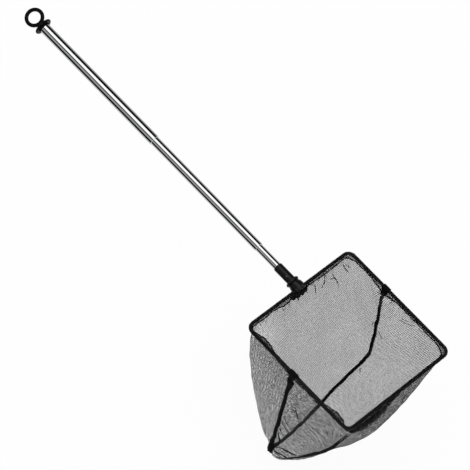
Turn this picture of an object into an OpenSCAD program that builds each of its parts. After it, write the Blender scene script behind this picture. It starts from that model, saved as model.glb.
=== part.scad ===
// Aquarium fish net: a square wire frame that carries a fine black net bag, on a three-stage
// telescopic steel handle with a moulded hanging ring. Millimetres, +X along the handle from the
// ring to the net, +Z out of the net's mouth. The origin is the centre of the ring's hole.

/* [Hanging ring] */
// Diameter of the hole that goes over a hook
ring_hole_d = 11; // [8:0.5:16]
// Thickness of the round moulding that makes the ring
ring_section_d = 3.4; // [2.4:0.1:5]
// Width of the flat band around the inside of the hole
ring_flat_w = 1.4; // [0.6:0.1:2]
// How far the ring is turned about the handle, in degrees
ring_turn = 30; // [-90:5:90]
// Length of the web between the ring and the flange
ring_web_l = 1.6; // [0.8:0.1:4]
// Diameter of the web where it meets the flange
ring_web_d = 5.4; // [3.4:0.1:7]
// Diameter of the flange
flange_d = 16.4; // [13:0.2:24]
// Thickness of the flange
flange_t = 2; // [1.2:0.1:3]
// How far the collar stands out around the tube
collar_lip = 0.4; // [0.2:0.1:1.2]
// Length of the collar between flange and tube
collar_l = 1.5; // [0.8:0.1:4]
// Length of the plug that is pressed into the tube
plug_l = 6; // [4:0.5:12]

/* [Telescopic tubes] */
// Outside diameter of the outer tube
outer_d = 9.6; // [9.4:0.1:10.4]
// Outside diameter of the middle tube
middle_d = 8.3; // [8.1:0.1:8.4]
// Outside diameter of the inner tube
inner_d = 7; // [6.6:0.1:7.1]
// Wall of all three tubes
tube_wall = 0.3; // [0.25:0.01:0.32]
// Length of the outer tube
outer_l = 140; // [60:1:200]
// How far the middle tube stands out of the outer tube
middle_out = 129.7; // [60:0.1:180]
// How much of the middle tube stays in the outer tube
middle_in = 12.3; // [10:0.1:50]
// How far the inner tube shows between the middle tube and the connector
inner_out = 22.7; // [22:0.1:60]
// How far the inner tube's tail lies from the middle tube's tail
inner_room = 36.18; // [10:0.01:60]
// Length of the rolled-in mouth of a tube
mouth_l = 1.2; // [0.8:0.1:2]
// Radial play of a tube in the rolled mouth around it
mouth_play = 0.05; // [0.02:0.01:0.08]
// Length of the neck at a tube's tail that the friction springs sit in
neck_l = 7; // [5:0.1:9]
// Depth of that neck
neck_depth = 0.25; // [0.2:0.01:0.3]
// Length of the flared end behind the neck
flare_l = 0.6; // [0.4:0.1:1]
// Thickness of a friction spring
spring_t = 0.16; // [0.1:0.01:0.2]
// Turn of the tube that one friction spring covers, in degrees
spring_turn = 150; // [90:5:160]

/* [Connector] */
// Diameter of the sleeve on the inner tube
sleeve_d = 8.4; // [8:0.1:10]
// Depth of the socket for the inner tube
socket_l = 15.5; // [13:0.5:15.5]
// Length from the sleeve's end to the middle of the knuckle's bead
sleeve_l = 18.3; // [18:0.1:20]
// Diameter of the knuckle that grips the wire
knuckle_d = 12.4; // [11:0.1:14]
// Length of the knuckle's barrel
barrel_l = 9.8; // [9.4:0.1:12]
// Radius of the barrel's crowned side
barrel_crown_r = 9; // [8:0.5:14]
// Radius of the bead between sleeve and barrel
bead_r = 1.25; // [0.8:0.05:1.6]
// How far the barrel reaches past the wire's centre line
barrel_past = 3; // [2:0.1:4]
// Diameter of the cross pin
pin_d = 1.5; // [1:0.1:2]
// Distance of the cross pin from the sleeve's end
pin_at = 12.5; // [8:0.1:13]
// Turn of the cross pin about the handle, in degrees
pin_turn = 35; // [0:5:90]

/* [Wire frame] */
// Length of the frame along the handle, between wire centres
frame_l = 120; // [90:1:160]
// Width of the frame across the handle, between wire centres
frame_w = 120; // [90:1:160]
// Diameter of the wire
wire_d = 2.8; // [2:0.1:3.2]
// Radius of the frame's corners at the wire's centre line
corner_r = 6; // [4:0.5:12]
// Radius of the two bends into the connector
bend_r = 3; // [2.5:0.1:4]
// Gap between the two wire ends in the connector
wire_gap = 0.3; // [0.2:0.1:1]
// Length of the wire ends, back from the frame's handle side
wire_end_l = 8.6; // [6:0.1:9]

/* [Hem] */
// Thickness of the hem cloth around the wire
hem_t = 0.5; // [0.3:0.05:1]
// Play between the wire and the hem
hem_play = 0.05; // [0.02:0.01:0.2]
// How far the sewn edge of the hem hangs below the wire's centre
hem_drop = 4.2; // [3:0.1:8]
// Thickness of the sewn edge
hem_edge_t = 0.8; // [0.5:0.1:1.5]
// Length of the folded tab over each end of the seam
tab_l = 6.5; // [4:0.5:10]
// Thickness of that tab around the wire
tab_t = 0.95; // [0.8:0.05:1.5]
// How far the tab's tongue hangs below the wire's centre
tab_drop = 10; // [6:0.5:14]

/* [Net bag] */
// Thickness of the netting as a solid
net_t = 0.6; // [0.4:0.1:1]
// Gap between soft pieces that are sewn together
sewn_gap = 0.3; // [0.2:0.05:0.5]
// Place of the seam on the near side, towards the handle from the frame's middle
near_seam_back = 5; // [0:1:20]
// Place of the seam on the far side, towards the handle from the frame's middle
far_seam_back = 15; // [0:1:20]
// Depth of the bag at the near end of the bottom seam
near_depth = 113; // [80:1:150]
// Depth of the bag at the far end of the bottom seam
far_depth = 95; // [80:1:150]
// How far the near end of the bottom seam stands out past the frame's side
near_flare = 4.5; // [-10:0.5:10]
// How far the far end of the bottom seam stands out past the frame's side
far_flare = -1.5; // [-10:0.5:10]
// How far the bottom seam lies from the frame's middle, away from the handle, at its near end
near_lean = 6; // [0:0.5:20]
// How far the bottom seam lies from the frame's middle, away from the handle, at its far end
far_lean = -1.5; // [-10:0.5:20]
// Sag of the bottom seam between its ends
seam_sag = 3; // [0:0.5:10]
// How far the handle-side panel bellies out
handle_belly = 15; // [4:0.5:20]
// How far the front panel bellies past the frame at its middle
front_belly = 10; // [0:0.5:16]
// How far the front panel's lower fold reaches in front of the bottom seam
fold_reach = 20; // [10:0.5:30]
// How far the front panel's lower fold hangs below the bottom seam
fold_drop = 25; // [10:0.5:30]

/* [Seam bindings] */
// Width of the binding tape over the seam
tape_w = 2.4; // [1.6:0.1:4]
// Thickness of the binding tape
tape_t = 1.6; // [1:0.1:2]
// Width of the gathered end of the tape at the near bottom corner
knot_w = 5; // [3:0.1:6]

/* [Hidden] */

$fn = 64;
// How far a cutting solid runs past the face that it opens
overrun = 1;
// Assembly gap between pieces that seat on each other
seat_gap = 0.02;

// Hanging cap, from the ring's centre outwards. The web starts inside the ring's moulding.
web_root_share = 0.8;
ring_r = ring_hole_d / 2 + sqrt(pow(ring_section_d / 2, 2) - pow(ring_flat_w / 2, 2));
flange_x = ring_r + ring_section_d / 2 + ring_web_l;
collar_x = flange_x + flange_t;
outer_x = collar_x + collar_l;

// Stations along the handle
outer_mouth_x = outer_x + outer_l;
middle_mouth_x = outer_mouth_x + middle_out;
middle_x = outer_mouth_x - middle_in;
middle_l = middle_mouth_x - middle_x;
connector_x = middle_mouth_x + inner_out;
inner_x = middle_x + inner_room;
inner_l = connector_x + socket_l - seat_gap - inner_x;

// Tube insides and the neck that the springs sit in
outer_bore_r = outer_d / 2 - tube_wall;
middle_bore_r = middle_d / 2 - tube_wall;
spring_play = 0.03;
flare_play = 0.08;
spring_l = neck_l - 2 * seat_gap;
lip_round = tube_wall;

// Connector
pin_play = 0.02;
socket_play = 0.03;
channel_play = 0.05;
sleeve_round = 0.8;
barrel_x = sleeve_l + bead_r;
wire_x = connector_x + barrel_x + barrel_l - barrel_past;

// Frame
frame_x = wire_x + frame_l / 2;
wire_end_y = (wire_d + wire_gap) / 2;
bend_y = wire_end_y + bend_r;
hem_r = wire_d / 2 + hem_play + hem_t;
hem_inner_r = wire_d / 2 + hem_play;
connector_side = knuckle_d / 2 + sewn_gap;
near_seam_x = frame_x - near_seam_back;
far_seam_x = frame_x - far_seam_back;

// Bag: the panels hang from just under the hem
net_top = -hem_drop - hem_edge_t / 2 - sewn_gap;
// Dip of the netting under the connector, and the width that it covers
dip_d = 2.4;
dip_w = 6;
near_end = [frame_x + near_lean, -frame_w / 2 - near_flare, -near_depth];
far_end = [frame_x + far_lean, frame_w / 2 + far_flare, -far_depth];
// Share of a panel's top edge that lies on the side of the frame, and its share of the bottom
side_share = 0.25;
side_bottom_share = 0.05;
// Share of the depth at which the front panel starts to turn in
turn_share = 0.5;
// Shares of the belly that the handle side's panel takes backwards, down and sideways
belly_back_share = 0.85;
belly_down_share = 0.5;
belly_side_share = 0.7;
// Share of the fold's drop that is taken up at the panel's middle
fold_lift_share = 0.2;
// Share of the bottom seam that its tape leaves free at each end, and where the near tape ends
tape_start_share = 0.05;
tape_end_share = 0.985;
// Share of the near tape over which it is gathered, and how far the tape stands off at its bend
gather_share = 0.1;
bend_share = 1.3;
panel_cells_u = 36;
panel_cells_v = 14;
tape_cells = 14;
tape_sides = 8;

function mix(a, b, t) = a * (1 - t) + b * t;
function smooth(t) = let (c = max(0, min(1, t))) c * c * (3 - 2 * c);
function unit(v) = v / norm(v);

// The frame's outline as a path from a seam (u = 0) round two corners to the other seam (u = 1).
// s is -1 on the handle's side and 1 on the front. A share of u follows each side of the frame.
function edge_x(s, u) = (u < 0.5 ? near_seam_x : far_seam_x) + s * sewn_gap / 2;
function round_len() = corner_r * PI / 2;
function side_run(s, u) = abs(frame_x + s * frame_l / 2 - edge_x(s, u)) - corner_r;
function run_len(s, u) = side_run(s, u) + round_len() / 2;
function end_len() = frame_w - 2 * corner_r + round_len();
// Distance from the near seam, or from the far seam past the middle
function path_len(s, u) = let (e = min(u, 1 - u)) e < side_share ? e / side_share * run_len(s, u)
    : run_len(s, u) + (e - side_share) / (0.5 - side_share) * end_len() / 2;
function mouth_point(s, u) = let (
        d = path_len(s, u),
        a = side_run(s, u),
        y = u < 0.5 ? -1 : 1,
        t = (d - a) / corner_r * 180 / PI,
        cx = frame_x + s * (frame_l / 2 - corner_r),
        cy = frame_w / 2 - corner_r)
    d < a ? [edge_x(s, u) + s * d, y * frame_w / 2]
    : d < a + round_len() ? [cx + s * corner_r * sin(t), y * (cy + corner_r * cos(t))]
    : [frame_x + s * frame_l / 2, y * (cy - (d - a - round_len()))];
function dip(p) = p[0] < frame_x ? dip_d * exp(-pow(p[1] / dip_w, 2)) : 0;
function top_point(s, u) = let (p = mouth_point(s, u)) [p[0], p[1], net_top - dip(p)];

// The bottom seam, as a share w from its near end to its far end
function bottom_share(u) = let (e = min(u, 1 - u), b = e < side_share ? side_bottom_share * e / side_share
        : side_bottom_share + (e - side_share) / (0.5 - side_share) * (0.5 - side_bottom_share))
    u < 0.5 ? b : 1 - b;
function seam_point(w) = mix(near_end, far_end, w) - [0, 0, seam_sag * sin(180 * w)];
function foot_point(s, u) = seam_point(bottom_share(u)) + [s * (sewn_gap + net_t) / 2, 0, 0];

// A panel hangs between its top and its foot on a cubic curve
function fade(u) = smooth(min(u, 1 - u) / side_share);
function middle_share(u) = sin(180 * max(0, min(1, (u - side_share) / (1 - 2 * side_share))));
function side_sign(u) = u < 0.5 ? -1 : 1;
function front_upper(u, p, q) = [frame_x + frame_l / 2 + front_belly * middle_share(u), p[1], q[2] * turn_share];
function front_lower(u, q) = q + [fold_reach * (1 + fold_lift_share * middle_share(u)), 0,
    -fold_drop * (1 - fold_lift_share * middle_share(u))];
function handle_pull(u) = handle_belly * 2 / 3 * [-belly_back_share,
    side_sign(u) * belly_side_share * (1 - smooth((min(u, 1 - u) - side_share) / side_share)), -belly_down_share];
function cubic(a, b, c, d, t) = a * pow(1 - t, 3) + b * 3 * t * pow(1 - t, 2) + c * 3 * t * t * (1 - t)
    + d * pow(t, 3);
function panel_point(s, u, v) = let (
        p = top_point(s, u),
        q = foot_point(s, u),
        b = s > 0 ? front_upper(u, p, q) : mix(p, q, 1 / 3) + handle_pull(u),
        c = s > 0 ? front_lower(u, q) : mix(p, q, 2 / 3) + handle_pull(u))
    cubic(p, mix(mix(p, q, 1 / 3), b, fade(u)), mix(mix(p, q, 2 / 3), c, fade(u)), q, v);

// Unit normal of a panel, out of the bag
probe_share = 0.004;
function panel_normal(s, u, v) = let (
        u0 = max(0, u - probe_share), u1 = min(1, u + probe_share),
        v0 = max(0, v - probe_share), v1 = min(1, v + probe_share),
        across = panel_point(s, u1, v) - panel_point(s, u0, v),
        down = panel_point(s, u, v1) - panel_point(s, u, v0))
    unit(cross(across, down)) * -s;

// A closed sheet of the netting's thickness around a panel's middle surface
module sheet(s) {
    nu = panel_cells_u;
    nv = panel_cells_v;
    points = [for (side = [-1, 1]) for (i = [0:nu]) for (j = [0:nv])
        panel_point(s, i / nu, j / nv) + side * net_t / 2 * panel_normal(s, i / nu, j / nv)];
    layer = (nu + 1) * (nv + 1);
    function at(k, i, j) = k * layer + i * (nv + 1) + j;
    faces = [
        for (i = [0:nu - 1]) for (j = [0:nv - 1]) for (k = [0, 1])
            let (a = at(k, i, j), b = at(k, i + 1, j), c = at(k, i + 1, j + 1), d = at(k, i, j + 1))
            each (k == 0 ? [[a, b, c], [a, c, d]] : [[a, c, b], [a, d, c]]),
        for (i = [0:nu - 1]) for (j = [0, nv])
            let (a = at(0, i, j), b = at(0, i + 1, j), c = at(1, i + 1, j), d = at(1, i, j))
            each (j == 0 ? [[a, c, b], [a, d, c]] : [[a, b, c], [a, c, d]]),
        for (j = [0:nv - 1]) for (i = [0, nu])
            let (a = at(0, i, j), b = at(0, i, j + 1), c = at(1, i, j + 1), d = at(1, i, j))
            each (i == 0 ? [[a, b, c], [a, c, d]] : [[a, c, b], [a, d, c]])];
    polyhedron(points, s < 0 ? faces : [for (f = faces) [f[0], f[2], f[1]]], convexity = 6);
}

// A flat tape swept along a path. Each station is [point, outward direction, width].
module tape(stations) {
    n = len(stations);
    function along(i) = unit(stations[min(i + 1, n - 1)][0] - stations[max(i - 1, 0)][0]);
    points = [for (i = [0:n - 1]) let (
            out = unit(stations[i][1] - along(i) * (stations[i][1] * along(i))),
            wide = cross(along(i), out))
        for (k = [0:tape_sides - 1]) let (a = 360 * (k + 0.5) / tape_sides)
            stations[i][0] + wide * stations[i][2] / 2 * cos(a) + out * tape_t / 2 * sin(a)];
    faces = [
        for (i = [0:n - 2]) for (k = [0:tape_sides - 1]) let (
            a = i * tape_sides + k, b = i * tape_sides + (k + 1) % tape_sides)
            each [[a, b + tape_sides, a + tape_sides], [a, b, b + tape_sides]],
        for (k = [1:tape_sides - 2]) [0, k + 1, k],
        for (k = [1:tape_sides - 2]) let (e = (n - 1) * tape_sides) [e, e + k, e + k + 1]];
    polyhedron(points, faces, convexity = 4);
}

// Ring, flange, collar and plug, moulded in one
module hanging_cap() color([0.06, 0.06, 0.065]) {
    difference() {
        union() {
            rotate([ring_turn, 0, 0]) rotate_extrude() translate([ring_r, 0]) circle(d = ring_section_d);
            translate([ring_r, 0, 0]) rotate([0, 90, 0])
                cylinder(d1 = ring_section_d * web_root_share, d2 = ring_web_d, h = flange_x + flange_t / 2 - ring_r);
        }
        rotate([ring_turn, 0, 0]) cylinder(d = ring_hole_d, h = ring_web_d + 2 * overrun, center = true);
    }
    translate([flange_x + flange_t / 2, 0, 0]) rotate([0, 90, 0]) rotate_extrude() {
        translate([flange_d / 2 - flange_t / 2, 0]) circle(d = flange_t);
        translate([0, -flange_t / 2]) square([flange_d / 2 - flange_t / 2, flange_t]);
    }
    translate([collar_x - flange_t / 2, 0, 0]) rotate([0, 90, 0])
        cylinder(r = outer_d / 2 + collar_lip, h = collar_l + flange_t / 2 - seat_gap);
    translate([collar_x, 0, 0]) rotate([0, 90, 0]) cylinder(r = outer_bore_r - seat_gap, h = collar_l + plug_l);
}

// Half profile of a tube along its own axis. tail is 0 for a plain cut end, or 1 for the neck and
// flare; mouth_r is the bore of the rolled-in mouth, or 0 for a plain end.
module tube_profile(d, length, mouth_r, bore_around_r) {
    r = d / 2;
    bore = r - tube_wall;
    tail = bore_around_r > 0;
    neck_r = r - neck_depth;
    body_y = tail ? flare_l + neck_l : 0;
    translate([bore, body_y]) square([tube_wall, length - body_y - (mouth_r > 0 ? lip_round : 0)]);
    if (mouth_r > 0) {
        intersection() {
            translate([r - lip_round, length - lip_round]) circle(r = lip_round);
            translate([mouth_r, length - mouth_l]) square([r - mouth_r, mouth_l]);
        }
        translate([mouth_r, length - mouth_l]) square([r - lip_round - mouth_r, mouth_l]);
    }
    if (tail) {
        translate([neck_r - tube_wall, flare_l / 2]) square([tube_wall, neck_l + flare_l / 2 + tube_wall / 2]);
        translate([neck_r - tube_wall, body_y]) square([r - neck_r + tube_wall, tube_wall]);
        translate([neck_r - tube_wall, 0]) square([bore_around_r - flare_play - neck_r + tube_wall, flare_l]);
    }
}

module tube(x, d, length, mouth_r, bore_around_r)
    translate([x, 0, 0]) rotate([0, 90, 0]) rotate_extrude() tube_profile(d, length, mouth_r, bore_around_r);

module outer_tube() color([0.78, 0.79, 0.8]) tube(outer_x, outer_d, outer_l, middle_d / 2 + mouth_play, 0);

module middle_tube() color([0.74, 0.75, 0.77])
    tube(middle_x, middle_d, middle_l, inner_d / 2 + mouth_play, outer_bore_r);

module inner_tube() color([0.7, 0.71, 0.73]) difference() {
    tube(inner_x, inner_d, inner_l, 0, middle_bore_r);
    pin_hole();
}

// A bowed half shell in a tube's neck, pressing on the bore around it
module friction_spring(x, neck_r, bore_around_r, turn) {
    top_r = bore_around_r - spring_play;
    foot_r = neck_r + seat_gap + spring_t;
    rise = top_r - foot_r;
    bow_r = (pow(spring_l / 2, 2) + pow(rise, 2)) / (2 * rise);
    translate([x + flare_l + neck_l / 2, 0, 0]) rotate([turn, 0, 0]) rotate([0, 90, 0])
        rotate([0, 0, 180 - spring_turn / 2]) rotate_extrude(angle = spring_turn) intersection() {
            difference() {
                translate([top_r - bow_r, 0]) circle(r = bow_r, $fn = 256);
                translate([top_r - bow_r, 0]) circle(r = bow_r - spring_t, $fn = 256);
            }
            translate([neck_r, -spring_l / 2]) square([bore_around_r - neck_r, spring_l]);
        }
}

module middle_spring(turn) color([0.72, 0.55, 0.3])
    friction_spring(middle_x, middle_d / 2 - neck_depth, outer_bore_r, turn);
module inner_spring(turn) color([0.72, 0.55, 0.3])
    friction_spring(inner_x, inner_d / 2 - neck_depth, middle_bore_r, turn);

// Cross hole and cross pin of the connector
module pin_hole() translate([connector_x + pin_at, 0, 0]) rotate([pin_turn, 0, 0])
    cylinder(r = pin_d / 2 + pin_play, h = knuckle_d, center = true, $fn = 32);

module connector_pin() color([0.8, 0.8, 0.82])
    translate([connector_x + pin_at, 0, 0]) rotate([pin_turn, 0, 0])
        cylinder(d = pin_d, h = sleeve_d, center = true, $fn = 32);

// The wire that the frame is bent from. play widens it for the channel in the connector.
module wire_side(angle, offset, from, to, play)
    rotate([0, 0, angle]) translate([offset, from, 0]) rotate([-90, 0, 0])
        cylinder(r = wire_d / 2 + play, h = to - from);

module wire_bend(y_sign, play)
    translate([wire_x - bend_r, y_sign * bend_y, 0]) rotate([0, 0, y_sign > 0 ? -90 : 0])
        rotate_extrude(angle = 90) translate([bend_r, 0]) circle(r = wire_d / 2 + play);

module wire_end(y_sign, play)
    translate([wire_x - wire_end_l - play, y_sign * wire_end_y, 0]) rotate([0, 90, 0])
        cylinder(r = wire_d / 2 + play, h = wire_end_l - bend_r + play);

module frame_corners(r_offset = 0)
    for (sx = [-1, 1]) for (sy = [-1, 1])
        translate([sx * (frame_l / 2 - corner_r), sy * (frame_w / 2 - corner_r), 0])
            rotate([0, 0, sx > 0 ? (sy > 0 ? 0 : -90) : (sy > 0 ? 90 : 180)])
                rotate_extrude(angle = 90) translate([corner_r, 0]) circle(r = wire_d / 2 + r_offset);

module frame_wire() color([0.1, 0.1, 0.105]) {
    for (s = [-1, 1]) {
        wire_bend(s, 0);
        wire_end(s, 0);
    }
    translate([frame_x, 0, 0]) {
        frame_corners();
        wire_side(0, frame_l / 2, -frame_w / 2 + corner_r, frame_w / 2 - corner_r, 0);
        wire_side(90, frame_w / 2, -frame_l / 2 + corner_r, frame_l / 2 - corner_r, 0);
        wire_side(-90, frame_w / 2, -frame_l / 2 + corner_r, frame_l / 2 - corner_r, 0);
        wire_side(180, frame_l / 2, bend_y, frame_w / 2 - corner_r, 0);
        wire_side(180, frame_l / 2, -frame_w / 2 + corner_r, -bend_y, 0);
    }
}

// Sleeve, bead and barrel in one moulding around the wire's two ends
module connector() color([0.07, 0.07, 0.075]) difference() {
    translate([connector_x, 0, 0]) rotate([0, 90, 0]) rotate_extrude() {
        translate([sleeve_d / 2 - sleeve_round, sleeve_round]) circle(r = sleeve_round);
        square([sleeve_d / 2 - sleeve_round, sleeve_l]);
        translate([0, sleeve_round]) square([sleeve_d / 2, sleeve_l - sleeve_round]);
        translate([knuckle_d / 2 - bead_r, sleeve_l]) circle(r = bead_r);
        translate([0, sleeve_l - bead_r]) square([knuckle_d / 2 - bead_r, 2 * bead_r]);
        intersection() {
            translate([knuckle_d / 2 - barrel_crown_r, barrel_x + barrel_l / 2]) circle(r = barrel_crown_r);
            translate([0, barrel_x]) square([knuckle_d / 2, barrel_l]);
        }
    }
    translate([connector_x - overrun, 0, 0]) rotate([0, 90, 0])
        cylinder(r = inner_d / 2 + socket_play, h = socket_l + overrun);
    pin_hole();
    for (s = [-1, 1]) union() {
        wire_bend(s, channel_play);
        wire_end(s, channel_play);
        translate([wire_x, s * bend_y, 0]) rotate([-s * 90, 0, 0])
            cylinder(r = wire_d / 2 + channel_play, h = knuckle_d);
    }
}

// Hem: cloth folded round the wire and sewn below it. x is outwards and y is up.
module hem_profile() difference() {
    union() {
        circle(r = hem_r);
        translate([-hem_edge_t / 2, -hem_drop]) square([hem_edge_t, hem_drop]);
        translate([0, -hem_drop]) circle(d = hem_edge_t);
    }
    circle(r = hem_inner_r);
}

module hem_side(angle, offset, from, to)
    rotate([0, 0, angle]) translate([offset, to, 0]) rotate([90, 0, 0])
        linear_extrude(to - from) hem_profile();

module hem_corner(angle, sx, sy)
    translate([sx * (frame_l / 2 - corner_r), sy * (frame_w / 2 - corner_r), 0]) rotate([0, 0, angle])
        rotate_extrude(angle = 90) translate([corner_r, 0]) hem_profile();

tab_half = tab_l / 2 + sewn_gap;
near_seam_s = near_seam_x - frame_x;
far_seam_s = far_seam_x - frame_x;

module hem_handle_near() color([0.05, 0.05, 0.055]) translate([frame_x, 0, 0]) {
    hem_side(180, frame_l / 2, connector_side, frame_w / 2 - corner_r);
    hem_corner(180, -1, -1);
    hem_side(-90, frame_w / 2, -frame_l / 2 + corner_r, near_seam_s - tab_half);
}

module hem_handle_far() color([0.05, 0.05, 0.055]) translate([frame_x, 0, 0]) {
    hem_side(180, frame_l / 2, -frame_w / 2 + corner_r, -connector_side);
    hem_corner(90, -1, 1);
    hem_side(90, frame_w / 2, tab_half - far_seam_s, frame_l / 2 - corner_r);
}

module hem_front() color([0.05, 0.05, 0.055]) translate([frame_x, 0, 0]) {
    hem_side(-90, frame_w / 2, near_seam_s + tab_half, frame_l / 2 - corner_r);
    hem_corner(-90, 1, -1);
    hem_side(0, frame_l / 2, -frame_w / 2 + corner_r, frame_w / 2 - corner_r);
    hem_corner(0, 1, 1);
    hem_side(90, frame_w / 2, -frame_l / 2 + corner_r, -far_seam_s - tab_half);
}

// Folded end of the seam tape: a short wrap round the wire with a tapering tongue outside the bag
module seam_tab(x, y_sign) {
    inner_y = net_t / 2 + 2 * sewn_gap;
    translate([x, y_sign * frame_w / 2, 0]) {
        rotate([0, 90, 0]) difference() {
            cylinder(r = hem_inner_r + tab_t, h = tab_l, center = true);
            cylinder(r = hem_inner_r, h = tab_l + 2 * overrun, center = true);
        }
        translate([0, y_sign > 0 ? inner_y + tab_t : -inner_y, 0]) rotate([90, 0, 0]) linear_extrude(tab_t)
            polygon([[-tab_l / 2, -hem_inner_r - tab_t / 2], [tab_l / 2, -hem_inner_r - tab_t / 2],
                [tape_w / 2, -tab_drop], [-tape_w / 2, -tab_drop]]);
    }
}

// Stations of the tapes: outside the panels, and facing away from the bag's middle
tape_off = (net_t + tape_t) / 2 + sewn_gap * 2;
bottom_out = unit([-1, 0, -1]);
function near_side(t) = mix([near_seam_x, -frame_w / 2, net_top], near_end, t);
function far_side(t) = mix([far_seam_x, frame_w / 2, net_top], far_end, t);
function tab_share(top, end) = (tab_drop + sewn_gap * 2 + net_top) / (end + net_top);

module near_binding() color([0.04, 0.04, 0.045]) {
    first = tab_share(net_top, near_depth);
    tape([for (i = [0:tape_cells]) let (t = mix(first, tape_end_share, i / tape_cells))
        [near_side(t) + [0, -tape_off, 0], [0, -1, 0], mix(tape_w, knot_w, smooth((t - 1 + gather_share) / gather_share))]]);
}

module bottom_binding() color([0.04, 0.04, 0.045]) {
    last = tab_share(net_top, far_depth);
    tape([
        for (i = [0:tape_cells]) let (w = mix(tape_start_share, 1 - tape_start_share, i / tape_cells))
            [seam_point(w) + tape_off * bottom_out, bottom_out, tape_w],
        [far_end + tape_off * bend_share * unit(bottom_out + [0, 1, 0]), unit(bottom_out + [0, 1, 0]), tape_w],
        for (i = [0:tape_cells]) let (t = mix(tape_start_share, 1 - last, i / tape_cells))
            [far_side(1 - t) + [0, tape_off, 0], [0, 1, 0], tape_w]]);
}

module handle_panel() color([0.3, 0.3, 0.31]) sheet(-1);
module front_panel() color([0.36, 0.36, 0.37]) sheet(1);

hanging_cap();
outer_tube();
middle_spring(0);  // middle_spring_upper
middle_spring(180);  // middle_spring_lower
middle_tube();
inner_spring(0);  // inner_spring_upper
inner_spring(180);  // inner_spring_lower
inner_tube();
connector();
connector_pin();
frame_wire();
hem_handle_near();
hem_handle_far();
hem_front();
color([0.05, 0.05, 0.055]) seam_tab(near_seam_x, -1);  // near_seam_tab
color([0.05, 0.05, 0.055]) seam_tab(far_seam_x, 1);  // far_seam_tab
handle_panel();
front_panel();
near_binding();
bottom_binding();
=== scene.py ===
import math
import random

import bmesh
import bpy
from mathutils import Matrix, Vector, noise


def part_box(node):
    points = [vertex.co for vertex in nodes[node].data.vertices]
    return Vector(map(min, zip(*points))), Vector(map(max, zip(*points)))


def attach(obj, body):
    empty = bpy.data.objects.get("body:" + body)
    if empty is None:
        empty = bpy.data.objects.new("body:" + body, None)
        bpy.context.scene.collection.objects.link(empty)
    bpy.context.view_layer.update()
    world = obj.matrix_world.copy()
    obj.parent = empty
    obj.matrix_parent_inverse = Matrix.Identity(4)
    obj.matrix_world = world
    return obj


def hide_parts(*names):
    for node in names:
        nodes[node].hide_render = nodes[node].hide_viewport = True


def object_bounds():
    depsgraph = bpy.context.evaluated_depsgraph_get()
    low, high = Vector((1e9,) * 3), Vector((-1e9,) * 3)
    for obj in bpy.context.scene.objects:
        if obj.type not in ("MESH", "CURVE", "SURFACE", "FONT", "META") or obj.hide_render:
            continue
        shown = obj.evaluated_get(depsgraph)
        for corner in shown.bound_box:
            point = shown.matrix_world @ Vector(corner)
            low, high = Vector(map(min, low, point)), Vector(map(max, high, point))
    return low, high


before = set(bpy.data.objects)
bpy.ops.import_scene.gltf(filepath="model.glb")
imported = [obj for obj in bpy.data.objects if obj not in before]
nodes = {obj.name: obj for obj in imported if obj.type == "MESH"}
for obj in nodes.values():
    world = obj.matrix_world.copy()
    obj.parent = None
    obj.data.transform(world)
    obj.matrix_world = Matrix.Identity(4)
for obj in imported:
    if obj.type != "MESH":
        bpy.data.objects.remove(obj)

cad_low, cad_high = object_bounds()

# Camera. It looks down into the net from its near front corner, through a long lens, with the
# handle running up to the left.
camera_place = Vector((0.9030, -1.2110, 2.0883))
camera_into = Vector((-0.25681, 0.48240, -0.83746)).normalized()
camera_right = Vector((0.67463, 0.70996, 0.20208)).normalized()
camera_lens = 229.8
camera_data = bpy.data.cameras.new("camera")
camera_data.lens = camera_lens
camera_data.sensor_width = 36
camera_data.clip_end = 20
camera = bpy.data.objects.new("camera", camera_data)
camera_up = camera_right.cross(camera_into)
for row in range(3):
    camera.matrix_world[row][0] = camera_right[row]
    camera.matrix_world[row][1] = camera_up[row]
    camera.matrix_world[row][2] = -camera_into[row]
    camera.matrix_world[row][3] = camera_place[row]
bpy.context.scene.collection.objects.link(camera)
bpy.context.scene.camera = camera
bpy.context.scene.view_settings.view_transform = "Standard"


# Floor: a plain pale sheet of card just under the bag, wide enough for every view. It glows for the
# camera alone, so that it comes out white and still keeps a faint shadow of the net.
class Out:
    """An output of a node. Sums, products and differences of outputs add the nodes for them."""

    def __init__(self, tree, socket=None):
        self.tree = tree
        self.socket = socket

    def make(self, kind, settings={}, sockets={}, out=0):
        node = self.tree.nodes.new(kind)
        for key, value in settings.items():
            if key == "stops":
                for i, (place, colour) in enumerate(value):
                    stop = node.color_ramp.elements[i] if i < 2 else node.color_ramp.elements.new(place)
                    stop.position = place
                    stop.color = (*colour, 1)
            else:
                setattr(node, key, value)
        for key, value in sockets.items():
            if isinstance(value, Out):
                self.tree.links.new(value.socket, node.inputs[key])
            else:
                node.inputs[key].default_value = value
        return Out(self.tree, node.outputs[out])

    def also(self, out):
        """Another output of the same node."""
        return Out(self.tree, self.socket.node.outputs[out])

    def math(self, operation, a, b=0.0):
        return self.make("ShaderNodeMath", {"operation": operation}, {0: a, 1: b})

    def __add__(self, other):
        return self.math("ADD", self, other)

    def __sub__(self, other):
        return self.math("SUBTRACT", self, other)

    def __rsub__(self, other):
        return self.math("SUBTRACT", other, self)

    def __mul__(self, other):
        return self.math("MULTIPLY", self, other)

    def __truediv__(self, other):
        return self.math("DIVIDE", self, other)

    __radd__ = __add__
    __rmul__ = __mul__

    def clip(self):
        return self.make("ShaderNodeClamp", {}, {0: self})

    def pick(self, low, high):
        """The colour low where this output is 0, and high where it is 1."""
        low = low if isinstance(low, Out) else (*low, 1)
        high = high if isinstance(high, Out) else (*high, 1)
        return self.make("ShaderNodeMix", {"data_type": "RGBA"}, {0: self, 6: low, 7: high}, 2)


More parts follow.
